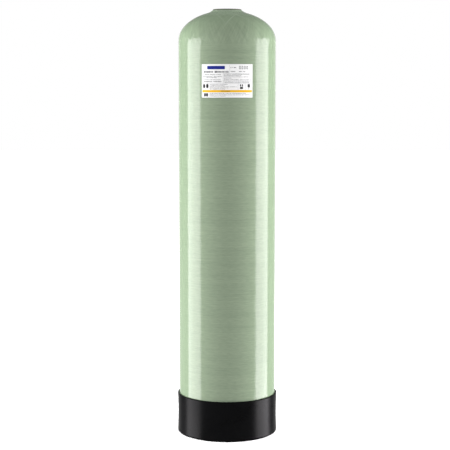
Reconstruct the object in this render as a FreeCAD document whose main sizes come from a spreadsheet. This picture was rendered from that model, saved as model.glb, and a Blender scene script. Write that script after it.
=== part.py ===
"""Wound fibreglass filter vessel with its threaded neck, moulded base, riser and strainer.

Millimetres. +Z is up, the origin is the centre of the base's standing ring, and -Y is the front,
where the label is.
"""
import FreeCAD, Part
import math
import os

import Sketcher

doc = FreeCAD.newDocument("FilterVessel")
sheet = doc.addObject("Spreadsheet::Sheet", "Sizes")


# Driving sizes: alias, value, and what it measures
DRIVING_SIZES = [
    ("vessel_height", 1117.6, "bottom pole of the shell to the rim, the 44 inch of the size"),
    ("vessel_lift", 11.4, "how far the base holds the bottom pole off the ground"),
    ("side_radius", 128.5, "outside of the barrel"),
    ("dome_rise", 79.0, "height of each elliptical dome"),
    ("rim_over_crown", 3.0, "rim above the point where the top dome would close"),
    ("side_wall", 2.6, "winding on the barrel"),
    ("crown_wall", 4.0, "winding where the domes close, thicker as the strands crowd there"),
    ("flare_radius", 36.0, "hollow between the dome and the neck"),
    ("flare_run_in", 0.32, "how far that hollow would run on inside the neck, as a share of its radius"),
    ("liner_wall", 3.0, "blown liner"),
    ("seat_thickness", 3.0, "pad at the liner's bottom that the strainer stands on"),
    ("seat_rim_wall", 3.0, "rim round that pad"),
    ("seat_rim_height", 4.0, "rim round that pad"),
    ("seat_play", 1.5, "strainer's cap to the rim, radially"),
    ("insert_wall", 3.0, "insert's neck, from the thread's crests to its outside"),
    ("insert_lip", 2.4, "insert above the end of the winding"),
    ("insert_length", 32.0, "rim to the insert's lower end"),
    ("insert_edge_round", 0.5, "outer edge of the lip"),
    ("thread_radius", 34.4, "bore across the crests of the 2 1/2 - 8 straight pipe thread"),
    ("thread_length", 24.0, "rim to the last turn"),
    ("lead_in", 1.9, "chamfer at the mouth, across the thread's depth"),
    ("relief_depth", 2.0, "run-out below the thread, from the crests to clear of the roots"),
    ("skirt_wall", 6.6, "insert below its flange, from the thread's crests to its outside"),
    ("flange_reach", 9.0, "flange that the liner is bonded to, past the skirt"),
    ("flange_edge", 4.0, "flange at its rim"),
    ("lap_step", 2.0, "skirt to the liner's edge on the flange"),
    ("base_height", 107.0, "ground to the base's upper edge"),
    ("base_waist", 1.15, "how far the side is drawn in at mid-height"),
    ("base_wall", 3.0, "side at the waist"),
    ("base_lip_depth", 6.0, "upper edge that hugs the barrel"),
    ("base_lip_slope", 2.0, "run-in under that edge"),
    ("base_lip_gap", 0.3, "upper edge to the barrel, radially"),
    ("base_lip_width", 5.0, "upper edge from its inside to its outside"),
    ("base_lip_round", 2.2, "outer corner of the upper edge"),
    ("base_lip_inner_round", 0.8, "inner corner of the upper edge"),
    ("base_foot_width", 16.0, "standing ring"),
    ("base_foot_round", 5.0, "outer corner of the foot"),
    ("base_floor_lift", 2.5, "floor above the ground"),
    ("base_floor_wall", 3.0, "floor"),
    ("base_hole_radius", 22.0, "opening in the middle of the floor"),
    ("drain_radius", 9.0, "each drain hole in the floor"),
    ("drain_circle", 76.0, "radius on which the drain holes lie"),
    ("drain_count", 6, "drain holes"),
    ("rib_count", 12, "ribs under the bottom dome"),
    ("rib_wall", 3.0, "ribs and rings under the dome"),
    ("rib_height", 62.0, "ground to the outer end of a rib"),
    ("inner_ring_radius", 50.0, "middle of the inner ring"),
    ("outer_ring_radius", 100.0, "middle of the outer ring"),
    ("cradle_gap", 0.15, "ribs to the dome"),
    ("bead_drop", 1.0, "foot of the lip's run-in to the top of the glue bead"),
    ("bead_height", 6.0, "glue bead"),
    ("label_arc", 135.5, "label along the barrel"),
    ("label_height", 85.0, "label up the barrel"),
    ("label_drop", 144.6, "rim to the label's top edge"),
    ("label_glue", 0.2, "label's glue, between the film and the barrel"),
    ("label_thickness", 0.25, "label"),
    ("label_corner", 1.2, "label's rounded corners"),
    ("riser_radius", 13.35, "outside of the riser, 1.05 inch pipe"),
    ("riser_wall", 2.5, "riser"),
    ("riser_gap", 2.0, "riser's end below the last turn of the thread"),
    ("glue_gap", 0.1, "riser to its socket, radially"),
    ("strainer_radius", 30.0, "outside of the strainer"),
    ("strainer_wall", 3.0, "strainer barrel"),
    ("strainer_height", 70.0, "strainer barrel"),
    ("spigot_wall", 2.5, "spigots of the cap and the head"),
    ("spigot_height", 6.0, "spigots of the cap and the head"),
    ("spigot_gap", 0.15, "spigots to the strainer barrel, radially"),
    ("cap_thickness", 4.0, "plate of the cap"),
    ("head_flange", 4.0, "edge of the head over the strainer barrel"),
    ("head_cone", 24.0, "height of the head's cone"),
    ("socket_wall", 3.5, "socket round the riser"),
    ("socket_depth", 26.0, "riser's length in its socket"),
    ("socket_ledge", 2.5, "stop under the riser's end"),
    ("slot_height", 0.8, "each slot of the strainer"),
    ("slot_pitch", 4.0, "slot to slot, upwards"),
    ("slot_rows", 14, "slots above each other"),
    ("slot_columns", 12, "slots round the barrel"),
    ("slot_sweep", 22.0, "degrees that a slot runs round the barrel"),
]

for row, (alias, value, note) in enumerate(DRIVING_SIZES, start=1):
    sheet.set("A%d" % row, note)
    sheet.set("B%d" % row, "%g" % value)
    sheet.setAlias("B%d" % row, alias)
doc.recompute()


class Size:
    """A size as the document keeps it: the expression, and the number that it gives now."""

    def __init__(self, value, text):
        self.value = value
        self.text = text

    def __add__(self, other):
        other = as_size(other)
        return Size(self.value + other.value, "(%s + %s)" % (self.text, other.text))

    def __sub__(self, other):
        other = as_size(other)
        return Size(self.value - other.value, "(%s - %s)" % (self.text, other.text))

    def __mul__(self, other):
        other = as_size(other)
        return Size(self.value * other.value, "%s * %s" % (self.text, other.text))

    def __truediv__(self, other):
        other = as_size(other)
        return Size(self.value / other.value, "%s / (%s)" % (self.text, other.text))


def as_size(number):
    """A plain number as a size, and a size as it is."""
    if isinstance(number, Size):
        return number
    return Size(float(number), "%g" % number)


def root(size):
    """The square root of a size."""
    return Size(math.sqrt(size.value), "sqrt(%s)" % size.text)


def given(alias):
    """The driving size with this alias."""
    return Size(float(sheet.get(alias)), "Sizes.%s" % alias)


class Ellipse:
    """The section of a dome: a quarter ellipse round a centre on the vessel's axis."""

    def __init__(self, centre, radius, rise, upwards):
        self.centre = centre
        self.radius = radius
        self.rise = rise
        self.upwards = upwards

    def height_at(self, radius):
        """The dome's height at this distance from the axis."""
        share = radius / self.radius
        drop = root(as_size(1) - share * share) * self.rise
        return self.centre + drop if self.upwards else self.centre - drop

    def pole(self):
        """The height at which the dome closes."""
        return self.centre + self.rise if self.upwards else self.centre - self.rise


ZERO = as_size(0)
PI = Size(math.pi, "pi")
# How far a cut runs past what it cuts
OVERSHOOT = as_size(1)


def bind(item, prop, size):
    """Keep a property of a document object at this size."""
    item.setExpression(prop, size.text)


def new_body(label):
    """An empty body, whose label is the sub-part's name."""
    body = doc.addObject("PartDesign::Body", label)
    body.Label = label
    return body


def new_sketch(body, name, role="XZ_Plane", height=None):
    """A sketch on one of the body's own planes, or parallel to it at a height."""
    plane = [feature for feature in body.Origin.OriginFeatures if feature.Role == role][0]
    sketch = body.newObject("Sketcher::SketchObject", name)
    sketch.AttachmentSupport = [(plane, "")]
    sketch.MapMode = "FlatFace"
    if height is not None:
        sketch.AttachmentOffset = FreeCAD.Placement(
            FreeCAD.Vector(0, 0, height.value), FreeCAD.Rotation())
        bind(sketch, "AttachmentOffset.Base.z", height)
    return sketch


def fix_point(sketch, geometry, end, point):
    """Hold one end of a line or arc at this distance from the sketch's two axes."""
    for kind, axis, size in (("DistanceX", -2, point[0]), ("DistanceY", -1, point[1])):
        if size is ZERO:
            sketch.addConstraint(Sketcher.Constraint("PointOnObject", geometry, end, axis))
            continue
        number = sketch.addConstraint(Sketcher.Constraint(kind, -1, 1, geometry, end, size.value))
        bind(sketch, "Constraints[%d]" % number, size)


def vector(point):
    """A point of a section as a vector in its sketch."""
    return FreeCAD.Vector(point[0].value, point[1].value, 0)


def add_dome(sketch, dome, start, finish):
    """A dome's arc between two points. Returns the geometry and whether it runs backwards."""
    curve = Part.Ellipse(FreeCAD.Vector(0, dome.centre.value, 0), dome.radius.value, dome.rise.value)
    first, last = (turn - 2 * math.pi if turn > math.pi else turn
                   for turn in (curve.parameter(vector(start)), curve.parameter(vector(finish))))
    backwards = last < first
    arc = sketch.addGeometry(Part.ArcOfEllipse(curve, min(first, last), max(first, last)), False)
    sketch.exposeInternalGeometry(arc)
    sketch.addConstraint(Sketcher.Constraint("Horizontal", arc + 1))
    fix_point(sketch, arc, 3, (ZERO, dome.centre))
    return arc, backwards


def add_bow(sketch, radius, start, finish):
    """A shallow arc that bows towards the axis, between two points one above the other."""
    middle = (vector(start) + vector(finish)) / 2
    half = (vector(finish) - vector(start)).Length / 2
    reach = math.sqrt(radius.value ** 2 - half ** 2)
    centre = middle + FreeCAD.Vector(reach, 0, 0)
    circle = Part.Circle(centre, FreeCAD.Vector(0, 0, 1), radius.value)
    ends = sorted((math.atan2(p.y - centre.y, p.x - centre.x) % (2 * math.pi), p.y)
                  for p in (vector(start), vector(finish)))
    arc = sketch.addGeometry(Part.ArcOfCircle(circle, ends[0][0], ends[1][0]), False)
    number = sketch.addConstraint(Sketcher.Constraint("Radius", arc, radius.value))
    bind(sketch, "Constraints[%d]" % number, radius)
    backwards = abs(ends[0][1] - start[1].value) > 1e-6
    return arc, backwards


def draw_section(sketch, start, edges):
    """A closed outline: each edge is ("line", to), ("dome", to, ellipse) or ("bow", to, radius)."""
    here = start
    joints = []
    for edge in edges:
        kind, there = edge[0], edge[1]
        if kind == "line":
            geometry = sketch.addGeometry(Part.LineSegment(vector(here), vector(there)), False)
            backwards = False
        elif kind == "dome":
            geometry, backwards = add_dome(sketch, edge[2], here, there)
        else:
            geometry, backwards = add_bow(sketch, edge[2], here, there)
        joints.append((geometry, 2 if backwards else 1, 1 if backwards else 2, there))
        here = there
    for index, (geometry, _, end, point) in enumerate(joints):
        following = joints[(index + 1) % len(joints)]
        sketch.addConstraint(Sketcher.Constraint("Coincident", geometry, end, following[0], following[1]))
        fix_point(sketch, geometry, end, point)


def revolve(body, name, start, edges, cut=False, angle=None):
    """Turn a section about the vessel's axis, to add it to the body or to cut it away."""
    sketch = new_sketch(body, name + "Section")
    draw_section(sketch, start, edges)
    feature = body.newObject("PartDesign::Groove" if cut else "PartDesign::Revolution", name)
    feature.Profile = sketch
    feature.ReferenceAxis = (sketch, ["V_Axis"])
    feature.Angle = 360.0
    if angle is not None:
        feature.Midplane = True
        bind(feature, "Angle", angle)
    doc.recompute()
    return feature


def polar_pattern(body, name, feature, axis, count):
    """Repeat a feature evenly round the vessel's axis."""
    pattern = body.newObject("PartDesign::PolarPattern", name)
    pattern.Originals = [feature]
    pattern.Axis = axis
    pattern.Angle = 360.0
    bind(pattern, "Occurrences", count)
    body.Tip = pattern
    doc.recompute()
    return pattern


def rim_edges(feature, radius, height):
    """The names of the whole circles of this radius at this height."""
    names = []
    for number, edge in enumerate(feature.Shape.Edges, start=1):
        box = edge.BoundBox
        flat = abs(box.ZMin - height.value) < 1e-4 and abs(box.ZMax - height.value) < 1e-4
        if flat and abs(box.XMax - radius.value) < 1e-4:
            names.append("Edge%d" % number)
    return names


def fillet(body, name, base, edges, radius):
    """Round these edges of the body's last feature."""
    feature = body.newObject("PartDesign::Fillet", name)
    feature.Base = (base, edges)
    feature.Radius = radius.value
    bind(feature, "Radius", radius)
    doc.recompute()
    return feature


# Heights and radii that several pieces share
rim_height = given("vessel_lift") + given("vessel_height")
side_radius = given("side_radius")
bottom_centre = given("vessel_lift") + given("dome_rise")
top_centre = rim_height - given("rim_over_crown") - given("dome_rise")

cavity_radius = side_radius - given("side_wall")
cavity_rise = given("dome_rise") - given("crown_wall")
inside_radius = cavity_radius - given("liner_wall")
inside_rise = cavity_rise - given("liner_wall")

shell_top = Ellipse(top_centre, side_radius, given("dome_rise"), True)
shell_bottom = Ellipse(bottom_centre, side_radius, given("dome_rise"), False)
cavity_top = Ellipse(top_centre, cavity_radius, cavity_rise, True)
cavity_bottom = Ellipse(bottom_centre, cavity_radius, cavity_rise, False)
inside_top = Ellipse(top_centre, inside_radius, inside_rise, True)
inside_bottom = Ellipse(bottom_centre, inside_radius, inside_rise, False)

winding_end = rim_height - given("insert_lip")
seat_height = inside_bottom.pole() + given("seat_thickness")

insert_radius = given("thread_radius") + given("insert_wall")
skirt_radius = given("thread_radius") + given("skirt_wall")
lap_radius = skirt_radius + given("lap_step")

base_radius = side_radius + given("base_lip_gap") + given("base_lip_width")
base_inside = base_radius - given("base_waist") - given("base_wall")
lip_slope_foot = given("base_height") - given("base_lip_depth") - given("base_lip_slope")


def fibreglass_shell():
    """The wound shell: one skin over the liner, flared up round the insert's neck."""
    body = new_body("fibreglass_shell")
    drum = insert_radius - given("flare_radius") * given("flare_run_in")
    above = rim_height + given("flare_radius")
    outside = revolve(body, "ShellOutside", (ZERO, shell_bottom.pole()), [
        ("dome", (side_radius, bottom_centre), shell_bottom),
        ("line", (side_radius, top_centre)),
        ("dome", (drum, shell_top.height_at(drum)), shell_top),
        ("line", (drum, above)),
        ("line", (ZERO, above)),
        ("line", (ZERO, shell_bottom.pole())),
    ])
    corner = rim_edges(outside, drum, shell_top.height_at(drum))
    fillet(body, "NeckFlare", outside, corner, given("flare_radius"))
    revolve(body, "NeckTrim", (ZERO, winding_end), [
        ("line", (side_radius, winding_end)),
        ("line", (side_radius, above + OVERSHOOT)),
        ("line", (ZERO, above + OVERSHOOT)),
        ("line", (ZERO, winding_end)),
    ], cut=True)
    revolve(body, "Cavity", (ZERO, cavity_bottom.pole()), [
        ("dome", (cavity_radius, bottom_centre), cavity_bottom),
        ("line", (cavity_radius, top_centre)),
        ("dome", (insert_radius, cavity_top.height_at(insert_radius)), cavity_top),
        ("line", (insert_radius, above)),
        ("line", (ZERO, above)),
        ("line", (ZERO, cavity_bottom.pole())),
    ], cut=True)
    return body


def liner():
    """The blown bottle inside the shell, with a seat for the strainer moulded in its bottom."""
    body = new_body("liner")
    seat_radius = given("strainer_radius") + given("seat_play")
    rim_radius = seat_radius + given("seat_rim_wall")
    rim_top = seat_height + given("seat_rim_height")
    revolve(body, "LinerWall", (ZERO, cavity_bottom.pole()), [
        ("dome", (cavity_radius, bottom_centre), cavity_bottom),
        ("line", (cavity_radius, top_centre)),
        ("dome", (lap_radius, cavity_top.height_at(lap_radius)), cavity_top),
        ("line", (lap_radius, inside_top.height_at(lap_radius))),
        ("dome", (inside_radius, top_centre), inside_top),
        ("line", (inside_radius, bottom_centre)),
        ("dome", (rim_radius, inside_bottom.height_at(rim_radius)), inside_bottom),
        ("line", (rim_radius, rim_top)),
        ("line", (seat_radius, rim_top)),
        ("line", (seat_radius, seat_height)),
        ("line", (ZERO, seat_height)),
        ("line", (ZERO, cavity_bottom.pole())),
    ])
    return body


def neck_insert():
    """The threaded ring: its flange is lapped by the liner and held down by the winding."""
    body = new_body("neck_insert")
    flange = skirt_radius + given("flange_reach")
    bore = given("thread_radius")
    relief = bore + given("relief_depth")
    foot = rim_height - given("insert_length")
    thread_end = rim_height - given("thread_length")
    flange_foot = inside_top.height_at(flange) - given("flange_edge")
    ring = revolve(body, "InsertRing", (bore + given("lead_in"), rim_height), [
        ("line", (insert_radius, rim_height)),
        ("line", (insert_radius, cavity_top.height_at(insert_radius))),
        ("dome", (lap_radius, cavity_top.height_at(lap_radius)), cavity_top),
        ("line", (lap_radius, inside_top.height_at(lap_radius))),
        ("dome", (flange, inside_top.height_at(flange)), inside_top),
        ("line", (flange, flange_foot)),
        ("line", (skirt_radius, flange_foot)),
        ("line", (skirt_radius, foot)),
        ("line", (relief, foot)),
        ("line", (relief, thread_end)),
        ("line", (bore, thread_end)),
        ("line", (bore, rim_height - given("lead_in"))),
        ("line", (bore + given("lead_in"), rim_height)),
    ])
    fillet(body, "LipEdge", ring, rim_edges(ring, insert_radius, rim_height), given("insert_edge_round"))
    return body


def base():
    """The moulded boot: waisted side, foot ring, drained floor, and ribs cut to the bottom dome."""
    body = new_body("base")
    radius = base_radius
    height = given("base_height")
    lip_radius = side_radius + given("base_lip_gap")
    lip_foot = height - given("base_lip_depth")
    foot_inside = radius - given("base_foot_width")
    floor_under = given("base_floor_lift")
    floor_top = floor_under + given("base_floor_wall")
    hole = given("base_hole_radius")
    # The side's bow: the circle whose chord is the height and whose sagitta is the waist
    waist = given("base_waist")
    bow_radius = height * height / (waist * 8) + waist / 2
    cup = revolve(body, "Cup", (hole, floor_under), [
        ("line", (foot_inside, floor_under)),
        ("line", (foot_inside, ZERO)),
        ("line", (radius, ZERO)),
        ("bow", (radius, height), bow_radius),
        ("line", (lip_radius, height)),
        ("line", (lip_radius, lip_foot)),
        ("line", (base_inside, lip_slope_foot)),
        ("line", (base_inside, floor_top)),
        ("line", (hole, floor_top)),
        ("line", (hole, floor_under)),
    ])
    rounded = fillet(body, "FootEdge", cup, rim_edges(cup, radius, ZERO), given("base_foot_round"))
    rounded = fillet(body, "LipEdge", rounded, rim_edges(rounded, radius, height), given("base_lip_round"))
    rounded = fillet(body, "LipInnerEdge", rounded, rim_edges(rounded, lip_radius, height),
                     given("base_lip_inner_round"))

    rib_half = given("rib_wall") / 2
    rib_top = given("rib_height")
    for name, middle in (("InnerRing", given("inner_ring_radius")), ("OuterRing", given("outer_ring_radius"))):
        revolve(body, name, (middle - rib_half, floor_top), [
            ("line", (middle + rib_half, floor_top)),
            ("line", (middle + rib_half, rib_top)),
            ("line", (middle - rib_half, rib_top)),
            ("line", (middle - rib_half, floor_top)),
        ])
    sketch = new_sketch(body, "RibSection", "XY_Plane", floor_top)
    inner, outer = given("inner_ring_radius"), base_inside
    draw_section(sketch, (inner, rib_half), [
        ("line", (outer, rib_half)),
        ("line", (outer, as_size(0) - rib_half)),
        ("line", (inner, as_size(0) - rib_half)),
        ("line", (inner, rib_half)),
    ])
    rib = body.newObject("PartDesign::Pad", "Rib")
    rib.Profile = sketch
    bind(rib, "Length", rib_top - floor_top)
    doc.recompute()
    polar_pattern(body, "Ribs", rib, (sketch, ["N_Axis"]), given("rib_count"))

    cradle = Ellipse(bottom_centre, side_radius + given("cradle_gap"),
                     given("dome_rise") + given("cradle_gap"), False)
    revolve(body, "Cradle", (ZERO, cradle.pole()), [
        ("dome", (cradle.radius, bottom_centre), cradle),
        ("line", (ZERO, bottom_centre)),
        ("line", (ZERO, cradle.pole())),
    ], cut=True)

    sketch = new_sketch(body, "DrainOutline", "XY_Plane", floor_top)
    circle = sketch.addGeometry(Part.Circle(FreeCAD.Vector(0, 0, 0), FreeCAD.Vector(0, 0, 1), 1), False)
    half_step = math.radians(180.0 / given("rib_count").value)
    half_turn = "(180deg / Sizes.rib_count)"
    reach = given("drain_circle")
    fix_point(sketch, circle, 3, (
        Size(reach.value * math.cos(half_step), "%s * cos%s" % (reach.text, half_turn)),
        Size(reach.value * math.sin(half_step), "%s * sin%s" % (reach.text, half_turn))))
    number = sketch.addConstraint(Sketcher.Constraint("Radius", circle, given("drain_radius").value))
    bind(sketch, "Constraints[%d]" % number, given("drain_radius"))
    drain = body.newObject("PartDesign::Pocket", "Drain")
    drain.Profile = sketch
    bind(drain, "Length", floor_top)
    doc.recompute()
    polar_pattern(body, "Drains", drain, (sketch, ["N_Axis"]), given("drain_count"))
    return body


def base_adhesive():
    """The bead of glue between the barrel and the base's side."""
    body = new_body("base_adhesive")
    top = lip_slope_foot - given("bead_drop")
    bottom = top - given("bead_height")
    revolve(body, "Bead", (side_radius, bottom), [
        ("line", (base_inside, bottom)),
        ("line", (base_inside, top)),
        ("line", (side_radius, top)),
        ("line", (side_radius, bottom)),
    ])
    return body


def label():
    """The sticker, wrapped round the front of the barrel."""
    body = new_body("label")
    inside = side_radius + given("label_glue")
    outside = inside + given("label_thickness")
    top = rim_height - given("label_drop")
    bottom = top - given("label_height")
    sweep = given("label_arc") / side_radius * 180 / PI
    film = revolve(body, "Wrap", (inside, bottom), [
        ("line", (outside, bottom)),
        ("line", (outside, top)),
        ("line", (inside, top)),
        ("line", (inside, bottom)),
    ], angle=sweep)
    corners = ["Edge%d" % number for number, edge in enumerate(film.Shape.Edges, start=1)
               if edge.Length < given("label_thickness").value * 1.5]
    fillet(body, "Corners", film, corners, given("label_corner"))
    body.Placement = FreeCAD.Placement(
        FreeCAD.Vector(0, 0, 0), FreeCAD.Rotation(FreeCAD.Vector(0, 0, 1), -90))
    return body


# The stack that stands in the liner: cap, strainer barrel, head and riser
cap_top = seat_height + given("cap_thickness")
strainer_top = cap_top + given("strainer_height")
head_shoulder = strainer_top + given("head_flange")
cone_top = head_shoulder + given("head_cone")
socket_bore = given("riser_radius") + given("glue_gap")
socket_radius = socket_bore + given("socket_wall")
riser_bottom = cone_top
riser_top = rim_height - given("thread_length") - given("riser_gap")
strainer_bore = given("strainer_radius") - given("strainer_wall")
spigot_radius = strainer_bore - given("spigot_gap")
spigot_bore = spigot_radius - given("spigot_wall")
waterway = given("riser_radius") - given("riser_wall")


def riser_tube():
    """The pipe from the strainer up to the neck."""
    body = new_body("riser_tube")
    outside = given("riser_radius")
    revolve(body, "Pipe", (waterway, riser_bottom), [
        ("line", (outside, riser_bottom)),
        ("line", (outside, riser_top)),
        ("line", (waterway, riser_top)),
        ("line", (waterway, riser_bottom)),
    ])
    return body


def distributor_cap():
    """The plate that closes the strainer and stands on the liner's seat."""
    body = new_body("distributor_cap")
    radius = given("strainer_radius")
    spigot_top = cap_top + given("spigot_height")
    revolve(body, "CapPlate", (ZERO, seat_height), [
        ("line", (radius, seat_height)),
        ("line", (radius, cap_top)),
        ("line", (spigot_radius, cap_top)),
        ("line", (spigot_radius, spigot_top)),
        ("line", (spigot_bore, spigot_top)),
        ("line", (spigot_bore, cap_top)),
        ("line", (ZERO, cap_top)),
        ("line", (ZERO, seat_height)),
    ])
    return body


def distributor_screen():
    """The slotted barrel of the strainer: columns of fine slots between upright bars."""
    body = new_body("distributor_screen")
    radius = given("strainer_radius")
    revolve(body, "Barrel", (strainer_bore, cap_top), [
        ("line", (radius, cap_top)),
        ("line", (radius, strainer_top)),
        ("line", (strainer_bore, strainer_top)),
        ("line", (strainer_bore, cap_top)),
    ])
    rise = given("slot_pitch") * (given("slot_rows") - 1)
    first = (cap_top + strainer_top - rise - given("slot_height")) / 2
    slot = revolve(body, "Slot", (strainer_bore - OVERSHOOT, first), [
        ("line", (radius + OVERSHOOT, first)),
        ("line", (radius + OVERSHOOT, first + given("slot_height"))),
        ("line", (strainer_bore - OVERSHOOT, first + given("slot_height"))),
        ("line", (strainer_bore - OVERSHOOT, first)),
    ], cut=True, angle=given("slot_sweep"))
    upright = (slot.Profile[0], ["V_Axis"])
    slots = body.newObject("PartDesign::MultiTransform", "Slots")
    slots.Originals = [slot]
    column = body.newObject("PartDesign::LinearPattern", "SlotColumn")
    column.Direction = upright
    bind(column, "Length", rise)
    bind(column, "Occurrences", given("slot_rows"))
    around = body.newObject("PartDesign::PolarPattern", "SlotsAround")
    around.Axis = upright
    around.Angle = 360.0
    bind(around, "Occurrences", given("slot_columns"))
    slots.Transformations = [column, around]
    body.Tip = slots
    doc.recompute()
    return body


def distributor_head():
    """The cone over the strainer, with the socket that the riser is glued into."""
    body = new_body("distributor_head")
    radius = given("strainer_radius")
    spigot_foot = strainer_top - given("spigot_height")
    socket_top = riser_bottom + given("socket_depth")
    ledge_foot = riser_bottom - given("socket_ledge")
    revolve(body, "Cone", (spigot_bore, spigot_foot), [
        ("line", (spigot_radius, spigot_foot)),
        ("line", (spigot_radius, strainer_top)),
        ("line", (radius, strainer_top)),
        ("line", (radius, head_shoulder)),
        ("line", (socket_radius, cone_top)),
        ("line", (socket_radius, socket_top)),
        ("line", (socket_bore, socket_top)),
        ("line", (socket_bore, riser_bottom)),
        ("line", (waterway, riser_bottom)),
        ("line", (waterway, ledge_foot)),
        ("line", (spigot_bore, strainer_top)),
        ("line", (spigot_bore, spigot_foot)),
    ])
    return body


SUB_PARTS = [
    fibreglass_shell(), neck_insert(), liner(), base(), base_adhesive(), label(),
    riser_tube(), distributor_head(), distributor_screen(), distributor_cap(),
]
doc.recompute()

for item in doc.Objects:
    if "Invalid" in item.State or "Error" in item.State:
        raise RuntimeError("%s failed to build: %s" % (item.Label, item.State))

os.makedirs("parts", exist_ok=True)
for piece in SUB_PARTS:
    shape = piece.Shape
    if shape.isNull() or not shape.isValid() or len(shape.Solids) != 1:
        raise RuntimeError("%s is not one sound solid" % piece.Label)
    print("%-20s %12.1f mm3  %s" % (piece.Label, shape.Volume, shape.optimalBoundingBox()))
for piece in SUB_PARTS:
    piece.Shape.exportStep("parts/%s.step" % piece.Label)
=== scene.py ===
"""The looks of a wound fibreglass filter tank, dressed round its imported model.

Metres, in the model's own frame: +Z is up, and -Y is the front, where the label is.
"""
import math

import bmesh
import bpy
import numpy as np
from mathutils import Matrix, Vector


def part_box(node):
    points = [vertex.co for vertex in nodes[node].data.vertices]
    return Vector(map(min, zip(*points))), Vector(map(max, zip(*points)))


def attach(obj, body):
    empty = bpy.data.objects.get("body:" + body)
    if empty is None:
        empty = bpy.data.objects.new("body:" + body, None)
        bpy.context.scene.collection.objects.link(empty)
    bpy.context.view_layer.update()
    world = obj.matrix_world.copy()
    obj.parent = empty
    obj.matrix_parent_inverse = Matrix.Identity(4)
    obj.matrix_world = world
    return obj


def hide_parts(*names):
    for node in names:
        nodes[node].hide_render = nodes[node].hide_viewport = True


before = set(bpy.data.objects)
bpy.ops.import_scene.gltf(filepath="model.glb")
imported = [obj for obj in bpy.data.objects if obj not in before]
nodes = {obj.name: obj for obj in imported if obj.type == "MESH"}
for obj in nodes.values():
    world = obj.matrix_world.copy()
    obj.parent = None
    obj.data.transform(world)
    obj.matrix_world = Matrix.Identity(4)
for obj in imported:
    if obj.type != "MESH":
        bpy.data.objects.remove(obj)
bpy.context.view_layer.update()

# The vessel's sizes, as the construction has them
RIM_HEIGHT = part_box("neck_insert")[1].z
SIDE_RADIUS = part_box("fibreglass_shell")[1].x
SHELL_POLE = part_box("fibreglass_shell")[0].z
WINDING_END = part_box("fibreglass_shell")[1].z
CAVITY_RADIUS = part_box("liner")[1].x
CAVITY_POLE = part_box("liner")[0].z
FLANGE_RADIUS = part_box("neck_insert")[1].x
INSERT_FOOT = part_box("neck_insert")[0].z
DOME_RISE = 0.079
RIM_OVER_CROWN = 0.003
CROWN_WALL = CAVITY_POLE - SHELL_POLE
BOTTOM_CENTRE = SHELL_POLE + DOME_RISE
TOP_CENTRE = RIM_HEIGHT - RIM_OVER_CROWN - DOME_RISE
LINER_WALL = 0.003

# The neck
THREAD_RADIUS = 0.0344
THREAD_DEPTH = 0.0017
THREAD_PITCH = 0.003175
THREAD_LENGTH = 0.024
THREAD_END = RIM_HEIGHT - THREAD_LENGTH
GROOVE_PEAK = 1.25  # where the groove's flanks would meet, in thread depths
GROOVE_FLANK = 3.0  # how steep they are, in thread depths a pitch
LEAD_IN = 0.0019
RELIEF_RADIUS = 0.0364
INSERT_RADIUS = 0.0374
INSERT_EDGE_ROUND = 0.0005
SKIRT_RADIUS = 0.041
LAP_RADIUS = 0.043
FLANGE_EDGE = 0.004
FLARE_RADIUS = 0.036
FLARE_RUN_IN = 0.32  # how far that hollow would run on inside the neck, as a share of its radius
FLARE_DRUM = INSERT_RADIUS - FLARE_RUN_IN * FLARE_RADIUS
HALVINGS = 50  # of the range in which the hollow meets the dome

# The winding
TURN_RADIUS = 0.049  # how near the axis the slanting strands turn back
CLEAR_OF_TURN = 1.004  # keeps their lead finite there
TURNING_LEAD = 9.0  # the lead of the strands that turn over at the shoulder, in radians a metre
LAY_STRETCH = 0.9  # how fast the slanting strands' detail changes along them, for each metre
HOOPS_START = 0.003
HOOPS_FADE = 0.012
HOOPS_SIDEWAYS = 4.0  # how fast the hoops' relief changes along X and Y, for each metre
BAND_FOOT, BAND_TOP = -0.6, 0.8  # the heights of a wave between which the slanting bands rise
BANDS_ON_BARREL = 0.06  # how much of their relief is left under the hoops
BARE_POLE = 0.02  # how far from the bottom pole the relief starts

# How fast the detail of hoops, fibres and passes changes round the barrel: along X, Y and Z, for each metre
HOOP_GRAIN = (6.0, 6.0, 280.0)
FIBRE_GRAIN = (70.0, 70.0, 380.0)
PASS_GRAIN = (4.5, 4.5, 62.0)
CLOUD_GRAIN = 9.0

# How fast the detail of the slanting strands, and of the painted glints along them, changes
STREAK_GRAIN = 26.0
BUNDLE_GRAIN = 9.0
GLINT_GRAIN = 30.0
GLINT_STRETCH = (1, 1, 0.25)
TURNING_GRAIN = 11.0

# The shell's colours, among them its painted glints and the painted light at its collar, and how far below
# the rim they change
DEEP_GREEN = (0.228, 0.290, 0.202)
PALE_GREEN = (0.296, 0.367, 0.256)
COLLAR_LIGHT_GREEN = (0.40, 0.48, 0.37)
GLINT_GREEN = (0.44, 0.51, 0.41)
ASLANT_TINT = (0.94, 1.0, 0.93)
COLLAR_LIGHT_FOOT = 0.060
COLLAR_FOOT = 0.020
COLLAR_TOP = 0.012
GLINT_FOOT = 0.055
GLINT_TOP = 0.025

# How finely the turned pieces are cut
SEGMENTS = 208
RING_STEP = 0.004
BOTTOM_DOME_RINGS = 34
TOP_DOME_RINGS = 40
FLARE_RINGS = 9
CAVITY_DOME_RINGS = 16
INSERT_SEGMENTS = 144
RINGS_A_TURN = 10
EDGE_POINTS = 4
LAP_POINTS = 3
FLANGE_POINTS = 4
SHARP_ANGLE = math.radians(35)

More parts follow.
